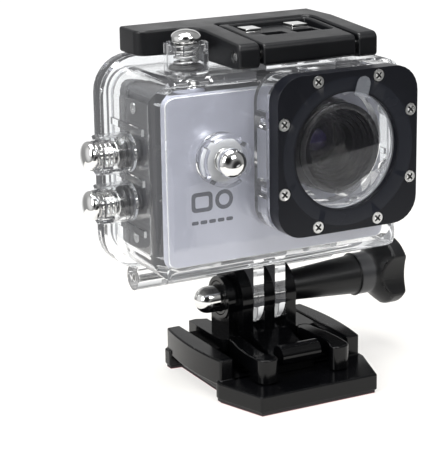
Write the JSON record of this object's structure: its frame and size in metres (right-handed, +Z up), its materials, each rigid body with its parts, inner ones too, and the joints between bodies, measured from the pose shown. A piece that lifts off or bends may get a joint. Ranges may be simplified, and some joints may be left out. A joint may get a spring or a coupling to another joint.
{
  "type": "action camera in waterproof housing",
  "caption": "Compact action camera in a clear waterproof housing, tilting on a three-finger clip that slides into an adhesive base.",
  "frame": {"origin": "centre of the underside of the adhesive pad", "axes": "+X to the right of the camera seen from the front, +Y towards the back, +Z up; the lens looks along -Y"},
  "size_m": [0.087, 0.048, 0.0888],
  "materials": {
    "adhesive_liner": "satin red foam tape",
    "base_black": "glossy moulded black",
    "clip_black": "glossy moulded black",
    "bright_chrome": "polished",
    "steel": "plain steel",
    "knob_black": "satin moulded black",
    "clear_case": "clear polycarbonate",
    "bezel_black": "satin black",
    "window_glass": "polished glass",
    "film": "thin plastic film",
    "seal_black": "black rubber",
    "seal_clear": "pale silicone",
    "latch_black": "satin black",
    "silver_paint": "metallic silver paint",
    "camera_dark": "dark textured plastic",
    "screen_black": "glossy black",
    "lens_black": "black anodised look",
    "lens_ring": "dark turned ring",
    "board_green": "circuit board",
    "cell_grey": "wrapped cell",
    "small_black": "black"
  },
  "bodies": {
    "base": {"adhesive_pad": "adhesive_liner", "base_plate": "base_black"},
    "clip": {"clip_body": "clip_black", "dome_nut": "bright_chrome"},
    "arm_left": {"release_arm_left": "clip_black"},
    "arm_right": {"release_arm_right": "clip_black"},
    "clamp_screw": {"clamp_bolt": "steel", "clamp_knob": "knob_black"},
    "housing": {"front_shell": "clear_case", "lens_bezel": "bezel_black", "bezel_screws": "steel", "lens_window": "window_glass", "window_seal": "seal_clear", "lens_film": "film", "door_hinge_pin": "steel", "latch_base": "latch_black", "latch_pin": "steel", "shutter_spring": "steel", "shutter_seal": "seal_black", "power_spring": "steel", "power_seal": "seal_clear", "up_spring": "steel", "up_seals": "seal_black", "down_spring": "steel", "down_seals": "seal_black", "front_cover": "silver_paint", "middle_frame": "camera_dark", "rear_cover": "camera_dark", "frame_screws": "steel", "screen_glass": "screen_black", "screen_panel": "cell_grey", "lens_barrel": "lens_black", "lens_front_glass": "window_glass", "lens_trim_ring": "lens_ring", "rear_element": "window_glass", "sensor_board": "board_green", "main_board": "board_green", "battery": "cell_grey", "memory_card": "small_black", "speaker": "small_black", "ports": "steel"},
    "door": {"back_door": "clear_case", "door_seal": "seal_clear"},
    "lever": {"latch_lever": "latch_black"},
    "lock": {"lock_slider": "latch_black"},
    "shutter_push": {"shutter_plunger": "bright_chrome", "shutter_clip": "steel"},
    "power_push": {"power_plunger": "bright_chrome", "power_clip": "steel"},
    "up_push": {"up_plunger": "bright_chrome", "up_clip": "steel"},
    "down_push": {"down_plunger": "bright_chrome", "down_clip": "steel"},
    "shutter_key": {"camera_shutter_button": "silver_paint"},
    "power_key": {"camera_power_button": "silver_paint"},
    "up_key": {"camera_up_button": "camera_dark"},
    "down_key": {"camera_down_button": "camera_dark"},
    "battery_hatch": {"battery_door": "camera_dark"}
  },
  "joints": [
    {"name": "clip_slide", "type": "slide", "parent": "base", "child": "clip", "axis": [0, 1, 0], "range_m": [0, 0.04]},
    {"name": "release_flex_left", "type": "hinge", "parent": "clip", "child": "arm_left", "pos_m": [-0.0098, 0.0022, 0.008], "axis": [0, 0, 1], "range_deg": [0, 6], "stiffness_Nm_per_rad": 0.2},
    {"name": "release_flex_right", "type": "hinge", "parent": "clip", "child": "arm_right", "pos_m": [0.0098, 0.0022, 0.008], "axis": [0, 0, -1], "range_deg": [0, 6], "stiffness_Nm_per_rad": 0.2},
    {"name": "clamp_turn", "type": "hinge", "parent": "clip", "child": "clamp_screw", "pos_m": [0, 0.0103, 0.0199], "axis": [1, 0, 0], "continuous": true},
    {"name": "housing_tilt", "type": "hinge", "parent": "clip", "child": "housing", "pos_m": [0, 0.0103, 0.0199], "axis": [1, 0, 0], "range_deg": [-25, 45]},
    {"name": "door_swing", "type": "hinge", "parent": "housing", "child": "door", "pos_m": [0, 0.022, 0.0248], "axis": [-1, 0, 0], "range_deg": [0, 90]},
    {"name": "lever_swing", "type": "hinge", "parent": "housing", "child": "lever", "pos_m": [0.0055, -0.0043, 0.083], "axis": [1, 0, 0], "range_deg": [0, 110]},
    {"name": "lock_slide", "type": "slide", "parent": "housing", "child": "lock", "axis": [1, 0, 0], "range_m": [0, 0.002]},
    {"name": "shutter_press", "type": "slide", "parent": "housing", "child": "shutter_push", "axis": [0, 0, -1], "range_m": [0, 0.0008], "stiffness_N_per_m": 900, "springref_m": -0.001, "deforming": ["shutter_spring"]},
    {"name": "power_press", "type": "slide", "parent": "housing", "child": "power_push", "axis": [0, 1, 0], "range_m": [0, 0.0008], "stiffness_N_per_m": 900, "springref_m": -0.001, "deforming": ["power_spring"]},
    {"name": "up_press", "type": "slide", "parent": "housing", "child": "up_push", "axis": [1, 0, 0], "range_m": [0, 0.0008], "stiffness_N_per_m": 900, "springref_m": -0.001, "deforming": ["up_spring"]},
    {"name": "down_press", "type": "slide", "parent": "housing", "child": "down_push", "axis": [1, 0, 0], "range_m": [0, 0.0008], "stiffness_N_per_m": 900, "springref_m": -0.001, "deforming": ["down_spring"]},
    {"name": "shutter_key_press", "type": "slide", "parent": "housing", "child": "shutter_key", "axis": [0, 0, -1], "range_m": [0, 0.0008], "stiffness_N_per_m": 300},
    {"name": "power_key_press", "type": "slide", "parent": "housing", "child": "power_key", "axis": [0, 1, 0], "range_m": [0, 0.0008], "stiffness_N_per_m": 300},
    {"name": "up_key_press", "type": "slide", "parent": "housing", "child": "up_key", "axis": [1, 0, 0], "range_m": [0, 0.0008], "stiffness_N_per_m": 300},
    {"name": "down_key_press", "type": "slide", "parent": "housing", "child": "down_key", "axis": [1, 0, 0], "range_m": [0, 0.0008], "stiffness_N_per_m": 300},
    {"name": "hatch_slide", "type": "slide", "parent": "housing", "child": "battery_hatch", "axis": [1, 0, 0], "range_m": [0, 0.0022]}
  ],
  "couplings": [
    {"joint": "release_flex_right", "follows": "release_flex_left", "ratio": 1},
    {"joint": "shutter_key_press", "follows": "shutter_press", "ratio": 1},
    {"joint": "power_key_press", "follows": "power_press", "ratio": 1},
    {"joint": "up_key_press", "follows": "up_press", "ratio": 1},
    {"joint": "down_key_press", "follows": "down_press", "ratio": 1}
  ]
}
